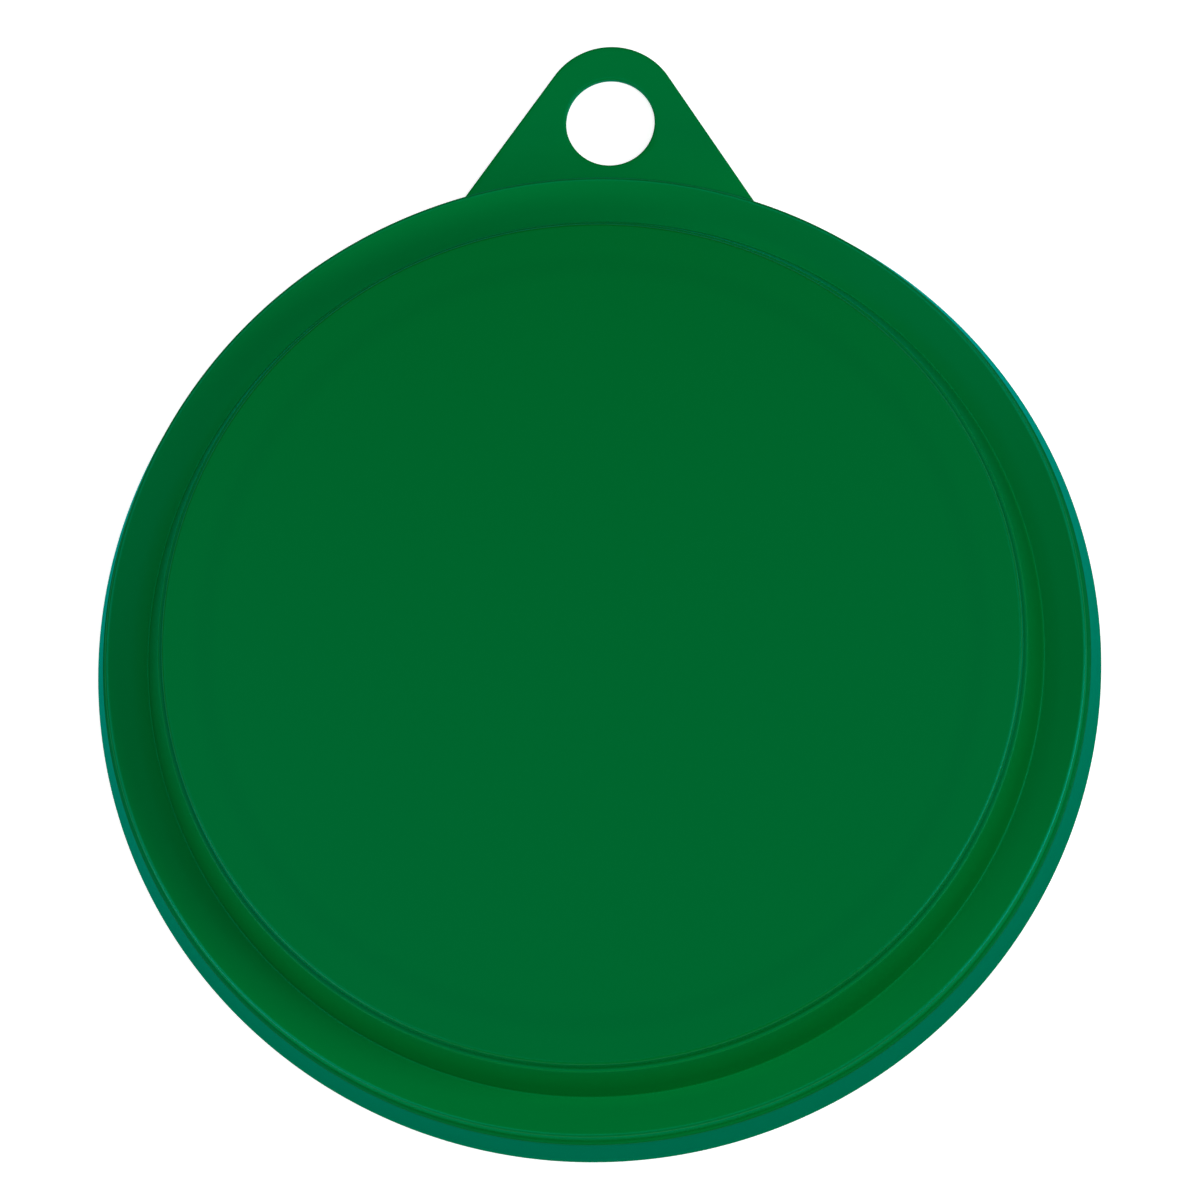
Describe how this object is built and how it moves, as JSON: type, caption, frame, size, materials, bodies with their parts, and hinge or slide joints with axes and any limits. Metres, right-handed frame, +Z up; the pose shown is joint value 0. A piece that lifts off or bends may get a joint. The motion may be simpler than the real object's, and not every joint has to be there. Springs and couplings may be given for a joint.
{
  "type": "can lid",
  "caption": "Push-on moulded lid for round cans of more than one size: raised flat top, sloping rim, flared skirt, ring rib inside, and a pull tab with a round hole at the side.",
  "frame": {"origin": "on the lid's axis, at the middle of the snap bead's land inside the skirt, which is the seat for the large can (mount can_seat_large)", "axes": "+Z up out of the flat top, along the lid's axis; +Y toward the pull tab; +X to the right of it"},
  "size_m": [0.0906, 0.1033, 0.0111],
  "materials": {
    "polyethylene": "satin"
  },
  "bodies": {
    "root": {"can_lid": "polyethylene"}
  },
  "joints": []
}
